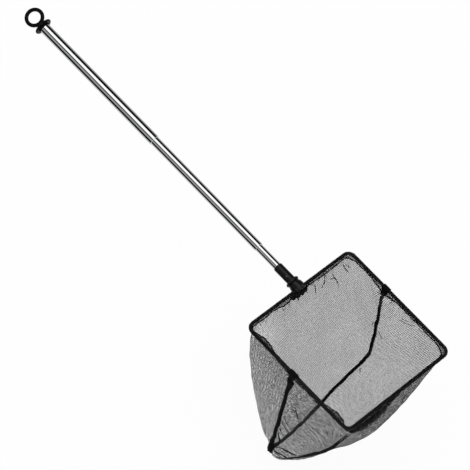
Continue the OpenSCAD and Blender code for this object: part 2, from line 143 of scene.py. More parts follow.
floor_gap = 0.002
floor_half = 15
floor_level = cad_low[2] - floor_gap
floor_white = (0.97, 0.97, 0.97)
floor_glow_share = 0.93
floor_mesh = bpy.data.meshes.new("floor")
floor_mesh.from_pydata(
    [(x * floor_half, y * floor_half, floor_level) for x, y in ((-1, -1), (1, -1), (1, 1), (-1, 1))],
    [],
    [(0, 1, 2, 3)],
)
floor = bpy.data.objects.new("floor", floor_mesh)
bpy.context.scene.collection.objects.link(floor)
floor_card = bpy.data.materials.new("floor_card")
floor_card.use_nodes = True
floor_card.node_tree.nodes.clear()
card = Out(floor_card.node_tree)
card_glow = card.make("ShaderNodeEmission", {}, {"Color": (1, 1, 1, 1), "Strength": 1})
card_matt = card.make("ShaderNodeBsdfDiffuse", {}, {"Color": (*floor_white, 1)})
card_seen = card.make("ShaderNodeLightPath", out="Is Camera Ray")
card_mix = card.make("ShaderNodeMixShader", {}, {0: card_seen * floor_glow_share, 1: card_matt, 2: card_glow})
card_end = floor_card.node_tree.nodes.new("ShaderNodeOutputMaterial")
floor_card.node_tree.links.new(card_mix.socket, card_end.inputs[0])
floor_mesh.materials.append(floor_card)
floor.visible_glossy = False

# Light: a white room. What polished metal mirrors is a studio laid out around the handle's axis: a
# long bright strip overhead, black flags on both sides of it and grey cards lower down. A pale card
# beyond the net shows in what faces that way a little, such as the tubes' rolled mouths.
room_level = 0.78
# Degrees about the handle's axis, and how bright the studio is there
studio = [
    (-180, 0.7), (-139, 0.6), (-132, 0.0), (-91, 0.0), (-84, 0.36), (-56, 0.36), (-50, 0.05), (-33, 0.03),
    (-27, 1.2), (15, 1.2), (21, 0.0), (33, 0.0), (70, 0.0), (76, 0.36), (96, 0.36), (104, 0.5), (180, 0.7),
]
end_card_level = 1.05
end_card_share = 0.6
end_card_reach = 0.62
end_card_fade_in = 5
end_card_fade_out = 8
room = bpy.data.worlds.new("room")
bpy.context.scene.world = room
room.use_nodes = True
room.node_tree.nodes.clear()
air = Out(room.node_tree)
way = air.make("ShaderNodeTexCoord", out="Generated")
way_y = air.make("ShaderNodeSeparateXYZ", {}, {0: way}, "Y")
way_x = way_y.also("X")
turn_share = air.math("ARCTAN2", way_y, way_y.also("Z")) / (2 * math.pi) + 0.5
studio_cards = air.make(
    "ShaderNodeValToRGB",
    {"stops": [((angle + 180) / 360, (level, level, level)) for angle, level in studio]},
    {0: turn_share},
)
end_card = (way_x * end_card_fade_in).clip() * ((end_card_reach - way_x) * end_card_fade_out).clip()
mirrored = (end_card * end_card_share).pick(studio_cards, (end_card_level,) * 3)
path_camera = air.make("ShaderNodeLightPath", out="Is Camera Ray")
plain = path_camera.pick((room_level,) * 3, (1, 1, 1))
sky = path_camera.also("Is Glossy Ray").pick(plain, mirrored)
room_light = air.make("ShaderNodeBackground", {}, {"Color": sky, "Strength": 1})
room_end = room.node_tree.nodes.new("ShaderNodeOutputWorld")
room.node_tree.links.new(room_light.socket, room_end.inputs[0])

lamp_aim = Vector((0.25, 0, 0))
for name, place, size, power in (
    ("key_lamp", (-0.35, -0.75, 1.5), 1.1, 4.5),
    ("fill_lamp", (0.9, 0.7, 1.3), 1.2, 2.5),
):
    lamp_data = bpy.data.lights.new(name, "AREA")
    lamp_data.shape = "DISK"
    lamp_data.size = size
    lamp_data.energy = power
    lamp = bpy.data.objects.new(name, lamp_data)
    lamp.location = place
    lamp.rotation_euler = (lamp_aim - Vector(place)).to_track_quat("-Z", "Y").to_euler()
    lamp.visible_glossy = False
    bpy.context.scene.collection.objects.link(lamp)


# Hanging cap: ring, flange, collar and plug in one black moulding, glossy from a polished mould,
# with faint flow marks and small scuffs. Its plug is pressed into the outer tube.
mm = 0.001


def new_finish(name):
    """A new material, the maker of its nodes, and the place on the piece."""
    finish = bpy.data.materials.new(name)
    finish.use_nodes = True
    at = Out(finish.node_tree)
    return finish, at, at.make("ShaderNodeTexCoord", out="Object")


def surface(finish, **sockets):
    """Sets or links the sockets of a finish. An underscore stands for a space."""
    principled = finish.node_tree.nodes["Principled BSDF"]
    for key, value in sockets.items():
        target = principled.inputs[key.replace("_", " ")]
        if isinstance(value, Out):
            finish.node_tree.links.new(value.socket, target)
        else:
            target.default_value = value


def grain(at, place, size, detail=3.0, out="Fac"):
    """Noise whose blotches are about size metres across."""
    return at.make("ShaderNodeTexNoise", {}, {"Vector": place, "Scale": 0.5 / size, "Detail": detail}, out)


def dents(at, strength, depth, height):
    """A normal for dents that are depth metres deep where the height is 1."""
    return at.make("ShaderNodeBump", {}, {"Strength": strength, "Distance": depth, "Height": height})


def moulded(name, colour, roughness, mottle, dent, shine):
    """Black moulded plastic: blotchy gloss, fine dents and paler scuffs."""
    blotch_size = 2.2 * mm
    fine_size = 0.35 * mm
    dent_depth = 0.06 * mm
    scuff_size = 1.1 * mm
    scuff_from = 0.62
    scuff_edge = 9
    scuff_pale = 2.6
    pale = tuple(c * scuff_pale for c in colour)
    finish, at, place = new_finish(name)
    blotch = grain(at, place, blotch_size)
    fine = grain(at, place, fine_size, 2.0)
    scuff = ((grain(at, place, scuff_size, 5.0) - scuff_from) * scuff_edge).clip()
    surface(
        finish,
        Base_Color=(scuff * 0.7 + blotch * 0.3).pick(colour, pale),
        Roughness=roughness + mottle * (blotch - 0.5) + 0.16 * scuff,
        Specular_IOR_Level=shine,
        Normal=dents(at, dent, dent_depth, blotch + 0.5 * fine),
    )
    return finish


def paint(finish, *names):
    for name in names:
        for slot in nodes[name].material_slots:
            slot.material = finish


cap_black = (0.003, 0.003, 0.0035)
paint(moulded("cap_moulding", cap_black, roughness=0.24, mottle=0.16, dent=0.5, shine=0.05), "hanging_cap")


# Tubes: three thin steel tubes, drawn and polished to a mirror, with fine lengthwise draw lines.
# The middle and the inner one slide in the rolled-in mouths of those around them.
def drawn_steel(name, colour, roughness):
    """Steel whose draw lines run along X, with faint clouds from the polishing."""
    line_size = 0.3 * mm
    line_stretch = (0.02, 1, 1)
    line_depth = 0.01 * mm
    cloud_size = 12 * mm
    finish, at, place = new_finish(name)
    stretched = at.make("ShaderNodeVectorMath", {"operation": "MULTIPLY"}, {0: place, 1: line_stretch})
    lines = grain(at, stretched, line_size)
    cloud = grain(at, place, cloud_size)
    surface(
        finish,
        Base_Color=cloud.pick(tuple(c * 0.93 for c in colour), colour),
        Metallic=1.0,
        Roughness=roughness + 0.04 * lines + 0.03 * (cloud - 0.5),
        Normal=dents(at, 0.15, line_depth, lines),
    )
    return finish


steel = (0.86, 0.865, 0.87)
polished = 0.02
for stage in ("outer", "middle", "inner"):
    paint(drawn_steel(stage + "_steel", steel, polished), stage + "_tube")


# Friction springs: bowed half shells of rolled brass, two in the neck of each tube that slides. They
# press on the bore around them, and the handle hides them.
def rolled_brass(name):
    """Brass with tarnish in blotches, duller where it is pale."""
    stain_size = 2 * mm
    finish, at, place = new_finish(name)
    stain = grain(at, place, stain_size)
    surface(
        finish,
        Base_Color=stain.pick((0.5, 0.33, 0.13), (0.72, 0.53, 0.26)),
        Metallic=1.0,
        Roughness=0.24 + 0.2 * stain,
    )
    return finish


paint(rolled_brass("leaf_brass"), "middle_spring_upper", "middle_spring_lower", "inner_spring_upper",
      "inner_spring_lower")

# Connector: sleeve, bead and barrel in one black moulding, rougher than the cap. A steel pin
# through the sleeve holds the inner tube.
connector_black = (0.003, 0.003, 0.0035)
pin_grey = (0.6, 0.6, 0.61)
paint(moulded("connector_moulding", connector_black, roughness=0.3, mottle=0.3, dent=1.0, shine=0.3),
      "connector")
paint(drawn_steel("pin_steel", pin_grey, roughness=0.2), "connector_pin")


# Frame: one steel wire bent to a square, with both ends side by side in the connector. It is dipped
# in black plastic, whose coat pools a little.
def dipped(name):
    """A dipped coat, paler and duller where it has pooled."""
    pool_size = 4 * mm
    pool_depth = 0.1 * mm
    finish, at, place = new_finish(name)
    pool = grain(at, place, pool_size)
    surface(
        finish,
        Base_Color=pool.pick((0.004, 0.004, 0.004), (0.01, 0.01, 0.0105)),
        Roughness=0.3 + 0.2 * pool,
        Normal=dents(at, 0.6, pool_depth, pool),
    )
    return finish


paint(dipped("dipped_wire"), "frame_wire")


# Hem: the top of the netting is folded over the wire and sewn to itself some way below it, so
# that it makes a loose tunnel. It leans into the mouth where the cloth pulls it.
wire_low, wire_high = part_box("frame_wire")
wire_d = wire_high.z - wire_low.z
frame_l = wire_high.y - wire_low.y - wire_d
frame_x = wire_high.x - wire_d / 2 - frame_l / 2
corner_r = 6 * mm
near_seam_back = 5 * mm
far_seam_back = 15 * mm
straight = frame_l - 2 * corner_r
quarter = straight + corner_r * math.pi / 2
rim_length = 4 * quarter
near_seam_run = quarter - near_seam_back
far_seam_run = rim_length - quarter + far_seam_back
hem_ply = 0.3 * mm
# How the hem hangs: millimetres along the wire from the connector's middle, near side first, then
# the degrees that it leans into the frame and its depth in millimetres
hem_hangs = [
    (0, 8, 4.8), (7, 6, 4.8), (12, 27, 5.8), (19, 28, 5.8), (25, 15, 5.4), (31, 7, 5.2), (39, 14, 5.6),
    (47, 14, 5.6), (53, 12, 5.6), (60, 26, 6.0), (67, 47, 6.6), (74, 60, 7.0), (81, 54, 7.0),
    (88, 38, 6.4), (96, 10, 5.6), (118, 4, 5.6), (143, 8, 5.6), (151, 50, 6.6), (160, 62, 7.0),
    (167, 56, 7.0), (172, 28, 6.4), (177, 6, 6.2), (184, -9, 6.2), (196, -14, 6.2), (210, -12, 6.0),
    (225, -6, 5.4), (240, 2, 4.6), (282, 4, 4.6), (290, 22, 6.2), (297, 22, 6.2), (304, 5, 4.2),
    (350, 3, 4.0), (359, 14, 5.0), (367, 26, 5.8), (376, 14, 5.0), (385, 3, 4.0), (402, 4, 4.0),
    (408, 14, 5.4), (415, 14, 5.4), (424, 16, 5.2), (440, 20, 5.6), (456, 14, 5.2),
]
lean_waver = 5
depth_waver_share = 0.09
edge_waver = 0.35 * mm
up = Vector((0, 0, 1))


def rim(run):
    """Middle of the wire and the way into the frame, run metres from the connector, near side first."""
    run = run % rim_length
    side = int(run // quarter)
    rest = run - side * quarter
    half = frame_l / 2
    if rest < straight / 2:
        place, out = Vector((-half, -rest, 0)), Vector((-1, 0, 0))
    elif rest < straight / 2 + corner_r * math.pi / 2:
        turn = (rest - straight / 2) / corner_r
        out = Vector((-math.cos(turn), -math.sin(turn), 0))
        place = Vector((corner_r - half, corner_r - half, 0)) + corner_r * out
    else:
        place, out = Vector((rest - quarter, -half, 0)), Vector((0, -1, 0))
    for _ in range(side):
        place = Vector((-place.y, place.x, 0))
        out = Vector((-out.y, out.x, 0))
    return place + Vector((frame_x, 0, 0)), -out


def smooth(t):
    """Goes from 0 to 1 with soft ends as t does."""
    t = max(0.0, min(1.0, t))
    return t * t * (3 - 2 * t)


def wobble(place, size, seed=0.0):
    """Smooth noise between -1 and 1 with a swing about every size metres."""
    return noise.noise(Vector(place) / size + Vector((seed, 2.3 * seed, 0)))


def hem_frame(run):
    """Middle of the wire, the way to the sewn edge, the way across it, and the hem's depth."""
    middle, inward = rim(run)
    at = (run % rim_length) / mm
    marks = hem_hangs + [(rim_length / mm, *hem_hangs[0][1:])]
    before, after = next((a, b) for a, b in zip(marks, marks[1:]) if at <= b[0])
    share = smooth((at - before[0]) / (after[0] - before[0]))
    lean, depth = (a + (b - a) * share for a, b in zip(before[1:], after[1:]))
    lean = math.radians(lean + lean_waver * wobble((run, 0, 0), 6 * mm))
    down = inward * math.sin(lean) - up * math.cos(lean)
    across = inward * math.cos(lean) + up * math.sin(lean)
    depth *= mm * (1 + depth_waver_share * wobble((run, 0, 0), 4 * mm, 4.0))
    return middle, down, across, depth


def sewn_edge(run):
    """Where the hem is sewn to itself."""
    middle, down, across, depth = hem_frame(run)
    return middle + down * depth + across * edge_waver * wobble((run, 0, 0), 3.5 * mm, 9.0)


def skin(piece, rows, ring=False, capped=False):
    """Adds quads over rows of points to a piece, with UVs in metres of cloth. ring closes each row."""
    uv = piece.loops.layers.uv.verify()
    wide = len(rows[0])
    count = wide + 1 if ring else wide
    made = [[piece.verts.new(p) for p in row] for row in rows]
    along = []
    for row in rows:
        run = [0.0]
        for j in range(1, count):
            run.append(run[-1] + (row[j % wide] - row[j - 1]).length)
        along.append([d - run[count // 2] for d in run])
    down = [[0.0] * count]
    for above, row in zip(rows, rows[1:]):
        down.append([down[-1][j] + (row[j % wide] - above[j % wide]).length for j in range(count)])
    for i in range(len(rows) - 1):
        for j in range(count - 1):
            corners = [(i, j), (i, j + 1), (i + 1, j + 1), (i + 1, j)]
            face = piece.faces.new([made[a][b % wide] for a, b in corners])
            face.smooth = True
            for loop, (a, b) in zip(face.loops, corners):
                loop[uv].uv = (along[a][b], down[a][b])
    if capped:
        piece.faces.new(made[0])
        piece.faces.new(made[-1])


def around(sides, start=0.0):
    """The angles of a tube's sides."""
    return [2 * math.pi * (k + start) / sides for k in range(sides)]


def thread(piece, points, radius, sides=5):
    """Adds a fine closed tube along points, drawn in at its ends."""
    end_share = 0.45
    askew = Vector((0.31, 0.52, 0.8))
    last = len(points) - 1
    rows = []
    for i, p in enumerate(points):
        along = (points[min(i + 1, last)] - points[max(i - 1, 0)]).normalized()
        wide = along.cross(askew).normalized()
        tall = along.cross(wide)
        r = radius * (end_share if i in (0, last) else 1)
        rows.append([p + r * (wide * math.cos(a) + tall * math.sin(a)) for a in around(sides)])
    skin(piece, rows, ring=True, capped=True)


def sewn_piece(name, build, finish, thickness=0.0):
    """Makes an object of what build adds to a mesh. thickness turns a bare skin into cloth."""
    piece = bmesh.new()
    build(piece)
    bmesh.ops.recalc_face_normals(piece, faces=piece.faces)
    mesh = bpy.data.meshes.new(name)
    piece.to_mesh(mesh)
    piece.free()
    mesh.materials.append(finish)
    thing = bpy.data.objects.new(name, mesh)
    bpy.context.scene.collection.objects.link(thing)
    if thickness:
        ply = thing.modifiers.new("ply", "SOLIDIFY")
        ply.thickness = thickness
        ply.offset = 0
    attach(thing, "net_head")
    return thing


def netting(name, colour, pale, pitch, open_above, mottle, shine=0.25, stretch=0.0, flecks=0.0,
            fleck_size=1.2 * mm, rows="X"):
    """Knitted net, pitch from hole to hole. Three waves cross, and a hole is where their sum rises
    over open_above, more or less as mottle says. Towards the near side the cloth is stretched, which
    opens it by stretch, with flecks and wales. rows is the axis of the cloth that the wales cross."""
    drawn_size = 2.4 * mm
    thread_jitter = 4.0
    thread_edge = 2.2
    thread_depth = 0.12 * mm
    patch_size = 16 * mm
    stretch_per_metre = -30
    stretch_offset = 0.6
    wale_pitch = 2.4 * mm
    wale_jitter = 3
    finish, at, place = new_finish(name)
    drawn = at.make("ShaderNodeSeparateXYZ", {}, {0: grain(at, place, drawn_size, 2.0, "Color")}, "X")
    parts = at.make("ShaderNodeSeparateXYZ", {}, {0: at.make("ShaderNodeUVMap", out="UV")}, rows)
    x = parts * (2 * math.pi / pitch) + (drawn - 0.5) * thread_jitter
    y = parts.also("Y" if rows == "X" else "X") * (2 * math.pi / pitch / math.sqrt(3))
    y = y + (drawn.also("Y") - 0.5) * thread_jitter
    loops = at.math("COSINE", x + y) + at.math("COSINE", x - y) + at.math("COSINE", 2 * y)
    patch = grain(at, place, patch_size, 2.0)
    fleck = grain(at, place, fleck_size, 2.0)
    near = at.make("ShaderNodeSeparateXYZ", {}, {0: place}, "Y")
    stretched = (near * stretch_per_metre - stretch_offset).clip()
    wales = at.math("SINE", parts * (2 * math.pi / wale_pitch) + (drawn - 0.5) * wale_jitter)
    wales = wales * (patch * 1.6 - 0.2)
    uneven = patch * 0.6 + fleck * (flecks * stretched + 1.5) - 1.05
    uneven = uneven + (wales * 0.7 - flecks / 2) * stretched
    limit = open_above + mottle * uneven - stretch * stretched
    surface(
        finish,
        Base_Color=(patch * 0.6 + fleck * 0.4).pick(colour, pale),
        Roughness=0.62 + 0.3 * (fleck - 0.5),
        Specular_IOR_Level=shine,
        Alpha=((limit - loops) * thread_edge + 0.5).clip(),
        Normal=dents(at, 0.35, thread_depth, (limit - loops).clip()),
    )
    return finish


def twill(name, colour, pale):
    """Narrow black tape and sewing thread: fine diagonal ribs and a dusty bloom."""
    rib_pitch = 0.5 * mm
    rib_depth = 0.1 * mm
    bloom_size = 1.5 * mm
    finish, at, place = new_finish(name)
    parts = at.make("ShaderNodeSeparateXYZ", {}, {0: at.make("ShaderNodeUVMap", out="UV")}, "X")
    ribs = at.math("SINE", (parts + parts.also("Y")) * (2 * math.pi / rib_pitch))
    bloom = grain(at, place, bloom_size)
    surface(
        finish,
        Base_Color=(bloom * 0.7 + ribs * 0.15).clip().pick(colour, pale),
        Roughness=0.75 + 0.2 * (bloom - 0.5),
        Specular_IOR_Level=0.05,
        Normal=dents(at, 0.7, rib_depth, ribs * 0.4 + bloom),
    )
    return finish


tape_black = (0.002, 0.002, 0.0022)
tape_worn = (0.008, 0.008, 0.0085)
hem_worn = (0.01, 0.01, 0.0105)
hem_net = netting("hem_net", tape_black, hem_worn, pitch=1.1 * mm, open_above=-0.2, mottle=1.1, shine=0.05)
hem_thread = twill("hem_thread", tape_black, tape_worn)
hem_r = wire_d / 2 + hem_ply
hem_step = 1.1 * mm
hem_cloth_t = 0.05 * mm
hem_belly = 0.25 * mm
hem_loose = 0.3 * mm
hem_dimple = 0.12 * mm
arc_points = 13
side_points = 5
edge_r = 0.4 * mm
edge_r_waver = 0.18 * mm
edge_tall = 1.35
stitch = 3 * mm
stitch_r = 0.13 * mm
stitch_rise = 0.3 * mm
# How far along a stitch a point of it lies, and how many millimetres it stands out there
stitch_path = ((0, 0.3), (0.2, 0.62), (0.5, 0.68), (0.52, 0.3))
loose_end_gap = 1.6 * mm
loose_end_r = 0.08 * mm
loose_end_l = 2 * mm


def hem_tunnel(first, last):
    """The tunnel's skin from one place along the wire to another."""
    count = round((last - first) / hem_step)

    def row(run):
        middle, down, across, depth = hem_frame(run)
        edge = sewn_edge(run) - middle
        touch = math.acos(hem_r / depth)
        loose = hem_loose * wobble((run, 0, 0), 2.6 * mm, 2.0)
        points = []
        for k in range(arc_points):
            turn = -touch - (2 * math.pi - 2 * touch) * k / (arc_points - 1)
            r = hem_r + hem_dimple * wobble((run, 0.3 * turn * mm, 0), 1.6 * mm, 5.0)
            points.append(middle + (down * math.cos(turn) + across * math.sin(turn)) * r)
        start, end = points[0], points[-1]
        outside, inside = range(1, side_points), range(side_points - 1, 0, -1)
        for sign, top, order in ((1, end, outside), (-1, start, inside)):
            for k in order:
                share = k / side_points
                belly = (hem_belly + loose * sign) * math.sin(math.pi * share)
                ply = hem_ply / 2 * share
                points.append(top.lerp(middle + edge, share) + across * sign * (belly + ply))
        return points

    return [row(first + (last - first) * i / count) for i in range(count + 1)]


def hem_edge(piece, first, last):
    """The rolled sewn edge with its stitches and the loose ends of its threads."""
    count = round((last - first) / hem_step)
    rows = []
    for i in range(count + 1):
        run = first + (last - first) * i / count
        middle, down, across, depth = hem_frame(run)
        edge = sewn_edge(run)
        r = edge_r + edge_r_waver * wobble((run, 0, 0), 2.2 * mm, 7.0)
        rows.append([edge + r * (down * edge_tall * math.cos(a) + across * math.sin(a)) for a in around(8)])
    skin(piece, rows, ring=True, capped=True)
    for i in range(int((last - first) / stitch)):
        run = first + (i + 0.15) * stitch
        for sign in (-1, 1):
            points = []
            for share, lift in stitch_path:
                place = run + share * stitch
                middle, down, across, depth = hem_frame(place)
                points.append(sewn_edge(place) + across * sign * lift * mm - down * stitch_rise)
            thread(piece, points, stitch_r)
    draw = random.Random(round(first / mm))
    for _ in range(round((last - first) / loose_end_gap)):
        run = draw.uniform(first, last)
        middle, down, across, depth = hem_frame(run)
        along = across.cross(down)
        way = down * draw.uniform(0.2, 1) + across * draw.uniform(-1, 1) + along * draw.uniform(-1.4, 1.4)
        start = sewn_edge(run) - down * stitch_rise
        curl = along * draw.uniform(-0.8, 0.8) * mm
        thread(piece, [start + way * reach + curl * (reach / loose_end_l) ** 2
                       for reach in (0, 0.5 * mm, 1.1 * mm, draw.uniform(1.3, 2.4) * mm)], loose_end_r, 4)


hem_gap = 6.6 * mm
tab_half = 2.4 * mm
for name, first, last in (
    ("hem_handle_near", hem_gap, near_seam_run - tab_half),
    ("hem_front", near_seam_run + tab_half, far_seam_run - tab_half),
    ("hem_handle_far", far_seam_run + tab_half, rim_length - hem_gap),
):
    sewn_piece(name + "_tunnel", lambda piece: skin(piece, hem_tunnel(first, last), ring=True),
                            hem_net, hem_cloth_t)
    sewn_piece(name + "_sewn_edge", lambda piece: hem_edge(piece, first, last),
                                      hem_thread)
    name + "_edge"
    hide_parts(name)


# Seam tabs: the ends of the seam tapes, folded over the hem and the wire and caught with a few
# stitches. Their loose ends taper down on both sides of the netting, and the cut threads fray.
def seam_tab(piece, run, widest, length_out, length_in, seed):
    """A tape's end, from below the hem outside the frame, over the wire, to below it inside."""
    middle, inward = rim(run)
    along = inward.cross(up)
    wrap_r = wire_d / 2 + 0.75 * mm
    off_hem = 0.9
    spread_in = 2.2
    end_w = 2.7 * mm
    pleat_depth = 0.3 * mm
    pleat_count = 2.2
    width_waver = 0.12
    wrap_from, wrap_to = 1.15 * math.pi, -0.15 * math.pi
    wrap_steps = 10
    cross_steps = 8
    outside = (1, 0.8, 0.6, 0.4, 0.2)
    path = [(middle - inward * off_hem * mm - up * (wrap_r + length_out * share), share) for share in outside]
    for k in range(wrap_steps + 1):
        turn = wrap_from + (wrap_to - wrap_from) * k / wrap_steps
        path.append((middle + wrap_r * (inward * math.cos(turn) + up * math.sin(turn)), 0))
    for share in reversed(outside):
        off = (off_hem + spread_in * share) * mm
        path.append((middle + inward * off - up * (wrap_r + length_in * share), share))
    rows = []
    for i, (place, share) in enumerate(path):
        width = widest - (widest - end_w) * share
        row = []
        for j in range(cross_steps + 1):
            t = j / cross_steps - 0.5
            pleat = pleat_depth * math.sin(2 * math.pi * (pleat_count * t + 0.13 * i + seed)) * (0.4 + share)
            row.append(place + along * t * width * (1 + width_waver * wobble((i * mm, seed, t), 2.5 * mm))
                       - inward * pleat * (1 if i < 8 else -1))
        rows.append(row)
    skin(piece, rows)


def frayed(piece, place, spread, length, count, seed):
    """Cut thread ends that stand out of a lump of cloth."""
    draw = random.Random(seed)
    for _ in range(count):
        way = Vector((draw.uniform(-1, 1), draw.uniform(-1, 1), draw.uniform(-0.7, 0.5))).normalized()
        start = place + way * spread * draw.uniform(0.2, 0.9)
        bend = Vector((draw.uniform(-1, 1), draw.uniform(-1, 1), draw.uniform(-1, 0.3))) * 0.35
        reach = length * draw.uniform(0.5, 1)
        thread(piece, [start + (way + bend * t) * reach * t for t in (0, 0.35, 0.7, 1)], fray_r)


fray_r = 0.1 * mm
tab_cloth_t = 0.5 * mm
tab_fray_in = 2.4 * mm
tab_fray_below = 4 * mm
tab_fray_spread = 2.6 * mm
tab_fray_l = 4.4 * mm
tab_fray_ends = 34
tape_finish = twill("seam_tape", tape_black, tape_worn)
for name, run, widest, length_out, length_in, seed in (
    ("near_seam_tab", near_seam_run, 8.6 * mm, 9 * mm, 2.5 * mm, 0.2),
    ("far_seam_tab", far_seam_run, 7 * mm, 7.5 * mm, 6 * mm, 0.7),
):
    tab = sewn_piece(name + "_tape", lambda piece: seam_tab(piece, run, widest, length_out, length_in, seed),
                     tape_finish, tab_cloth_t)
    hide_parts(name)
    middle, inward = rim(run)
    edge = middle + inward * tab_fray_in - up * tab_fray_below
    fray = sewn_piece(name + "_fray",
                      lambda piece: frayed(piece, edge, tab_fray_spread, tab_fray_l, tab_fray_ends, name),
                      tape_finish)


# Bag: two panels of fine black netting, one on the handle's side and one in front. Each hangs from
# the hem's sewn edge, bellies out and meets the other at the side seams and along the bottom.
net_top = -4.9 * mm
near_end = Vector((frame_x + 6 * mm, -frame_l / 2 - 4.5 * mm, -113 * mm))
far_end = Vector((frame_x - 1.5 * mm, frame_l / 2 - 1.5 * mm, -95 * mm))
seam_sag = 3 * mm
side_share = 0.25
side_bottom_share = 0.05
handle_belly = 15 * mm
front_belly = 12.5 * mm
fold_reach = 20 * mm
fold_drop = 24 * mm
fold_taut = 0.4
fold_taut_from = 0.55
fold_taut_wide = 0.35
pouch = 13 * mm
pouch_at = 0.15
pouch_wide = 0.09
seam_bow = 1.9 * mm
seam_bow_ends = 0.62
seam_lean = 1.0 * mm
hem_reach = 24 * mm
free_lean = 22
free_lean_wide = 30
far_gather = 3.5 * mm
far_gather_wide = 13 * mm
far_gather_top = 6 * mm
far_gather_foot = 60 * mm
dip_d = 2.4 * mm
dip_w = 6 * mm
gather_pitch = 5.2 * mm
gather_height = 0.75 * mm
gather_depth = 9 * mm
gather_swing = 11 * mm
slack = 1.1 * mm
slack_size = 26 * mm
fine_slack = 0.45 * mm
fine_slack_size = 8 * mm
knot_pleats = 17
knot_pleat_height = 0.9 * mm
knot_pleat_reach = 16 * mm


def swell(gap, reach):
    """A soft hump: 1 where gap is 0, and 0 from reach on."""
    return smooth(1 - abs(gap) / reach)


def top_run(front, u):
    """Where along the wire a share u of a panel's top edge lies."""
    near = u < 0.5
    e = min(u, 1 - u)
    back = near_seam_back if near else far_seam_back
    side_run = frame_l / 2 + (back if front else -back) - corner_r
    corner_run = side_run + corner_r * math.pi / 4
    end_run = straight / 2 + corner_r * math.pi / 4
    if e < side_share:
        run = e / side_share * corner_run
    else:
        run = corner_run + (e - side_share) / (0.5 - side_share) * end_run
    seam = near_seam_run if near else far_seam_run
    return seam + run if near == front else seam - run


def on_bottom_seam(w):
    """A point a share w along the bottom seam, which sags and bows to the front by the knot."""
    aside = seam_bow * math.sin(math.pi * min(1, w / seam_bow_ends)) + seam_lean * (1 - w)
    return near_end.lerp(far_end, w) + Vector((aside, 0, -seam_sag * math.sin(math.pi * w)))


def seam_pull(run, depth):
    """How far the far seam tape draws the cloth in below the hem."""
    reach = math.exp(-((run - far_seam_run) / far_gather_wide) ** 2)
    reach *= smooth(depth / far_gather_top) * (1 - smooth(depth / far_gather_foot))
    return rim(run)[1] * far_gather * reach


def bottom_point(u):
    """Where on the bottom seam a share u of a panel's width is sewn."""
    e = min(u, 1 - u)
    if e < side_share:
        w = side_bottom_share * e / side_share
    else:
        w = side_bottom_share + (e - side_share) / (0.5 - side_share) * (0.5 - side_bottom_share)
    return on_bottom_seam(w if u < 0.5 else 1 - w)


def panel_column(front, u, steps):
    """Points of a panel from its top edge to the bottom seam."""
    run = top_run(front, u)
    middle, inward = rim(run)
    dip = 0 if front else dip_d * math.exp(-((middle.y / dip_w) ** 2))
    top = Vector((middle.x, middle.y, net_top - dip))
    foot = bottom_point(u)
    fade = smooth(min(u, 1 - u) / side_share)
    mid = math.sin(math.pi * max(0.0, min(1.0, (u - side_share) / (1 - 2 * side_share))))
    if front:
        upper = Vector((frame_x + frame_l / 2 + front_belly * mid, top.y, foot.z / 2))
        taut = 1 - fold_taut * smooth((u - fold_taut_from) / fold_taut_wide)
        aside = -pouch * math.exp(-((u - pouch_at) / pouch_wide) ** 2)
        drop = fold_drop * (1 - 0.2 * mid - 0.2 * swell(u - 0.3, 0.14))
        lower = foot + Vector((fold_reach * (1 + 0.2 * mid), aside, -drop)) * taut
    else:
        sideways = (-1 if u < 0.5 else 1) * 0.7 * (1 - smooth((min(u, 1 - u) - side_share) / side_share))
        pull = handle_belly * 2 / 3 * Vector((-0.85, sideways * 0.7, -0.5))
        upper = top.lerp(foot, 1 / 3) + pull * 0.72
        lower = top.lerp(foot, 2 / 3) + pull * 1.28
    upper = top.lerp(foot, 1 / 3).lerp(upper, fade)
    lower = top.lerp(foot, 2 / 3).lerp(lower, fade)
    leaning = math.degrees(math.acos(max(-1, min(1, -hem_frame(run)[1].z))))
    free = smooth((leaning - free_lean) / free_lean_wide)
    under_wire = middle - up * (wire_d / 2 + hem_ply)
    shift = sewn_edge(run).lerp(under_wire, 0.8 * free) - top
    column = []
    for j in range(steps + 1):
        v = j / steps
        w = 1 - v
        place = top * w ** 3 + upper * 3 * v * w ** 2 + lower * 3 * v * v * w + foot * v ** 3
        depth = v * (top - foot).length
        column.append(place + shift * (1 - smooth(depth / hem_reach)) + seam_pull(run, depth))
    return column


# Where a panel hangs fuller or flatter than its smooth form: in front or not, the shares of its
# width and depth, how far the place reaches in both, and how much it stands out
swags = [
    (True, 0.15, 0.88, 0.10, 0.2, 3.2 * mm), (True, 0.225, 0.6, 0.10, 0.34, -3.4 * mm),
    (True, 0.285, 0.36, 0.08, 0.22, -2.2 * mm), (True, 0.41, 0.24, 0.15, 0.3, 4.6 * mm),
    (True, 0.55, 0.24, 0.13, 0.28, 2.2 * mm), (True, 0.70, 0.08, 0.08, 0.12, -1.0 * mm),
    (False, 0.18, 0.84, 0.18, 0.26, 3.0 * mm),
]


def ripple(front, u, v, place, depth, run):
    """How far the cloth stands off its smooth form: swags, slack, gathers at the hem and the knot."""
    hold = smooth(min(u, 1 - u) / 0.05) * smooth(v / 0.03) * smooth((1 - v) / 0.06)
    loose = slack * wobble(place, slack_size, 1.0) + fine_slack * wobble(place, fine_slack_size, 3.0)
    swing = wobble((run, 0, 0), gather_swing, 6.0)
    gather = math.sin(2 * math.pi * run / gather_pitch + 4 * swing) * (0.5 + 0.5 * swing)
    gather *= gather_height * math.exp(-depth / gather_depth)
    knot_gap = place - near_end
    fan = math.atan2(knot_gap.z, knot_gap.x)
    knot = knot_pleat_height * math.sin(fan * knot_pleats) * math.exp(-knot_gap.length / knot_pleat_reach)
    full = sum(high * swell(u - at_u, wide) * swell(v - at_v, tall)
               for side, at_u, at_v, wide, tall, high in swags if side == front)
    return hold * (loose + gather + knot + full)


